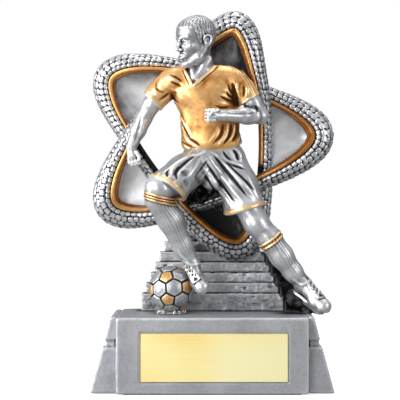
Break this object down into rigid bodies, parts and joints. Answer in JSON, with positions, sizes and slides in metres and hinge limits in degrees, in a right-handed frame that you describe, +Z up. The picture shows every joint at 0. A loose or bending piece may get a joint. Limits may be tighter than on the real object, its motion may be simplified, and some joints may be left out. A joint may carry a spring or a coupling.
{
  "type": "football figure trophy",
  "caption": "Painted resin trophy: a footballer with a ball in front of steps and an interlaced star, on a block plinth with side pylons and a blank brass plate.",
  "frame": {"origin": "centre of the underside, on the surface the trophy rests on", "axes": "+Z up; -Y towards the front, where the name plate is; +X to the right as seen from the front"},
  "size_m": [0.1197, 0.0565, 0.185],
  "materials": {
    "plinth_paint": "satin silver-grey paint on cast resin, fine speckle",
    "step_paint": "silver-grey paint on rough cast resin, black wash in the treads",
    "silver_paint": "bright metallic silver paint on cast resin, black wash in the hollows",
    "gold_paint": "metallic gold paint on cast resin, brown wash in the folds",
    "wash_black": "near-black paint on rough cast resin, silver flecks",
    "plate_brass": "brushed along its length, blank",
    "felt": "napped felt",
    "ballast": "rough cast plaster and stone filler",
    "tape": "white foam tape",
    "insert_brass": "turned",
    "steel": "bright zinc"
  },
  "bodies": {
    "root": {"base_block": "plinth_paint", "left_pylon": "plinth_paint", "right_pylon": "plinth_paint", "pylon_dowels": "steel", "base_pad": "felt", "ballast_core": "ballast", "name_plate": "plate_brass", "plate_tape": "tape", "step_back_piece": "step_paint", "clamp_bolts": "steel", "clamp_washers": "steel", "thread_inserts": "insert_brass", "leg_web": "wash_black", "turf_mound": "silver_paint", "football": "silver_paint", "star_frame": "silver_paint", "torso": "gold_paint", "head": "silver_paint", "right_arm": "silver_paint", "left_arm": "silver_paint", "shorts": "silver_paint", "right_leg": "silver_paint", "left_leg": "silver_paint", "figure_pins": "steel", "ground_pins": "steel", "star_pins": "steel", "link_pins": "steel"}
  },
  "joints": []
}
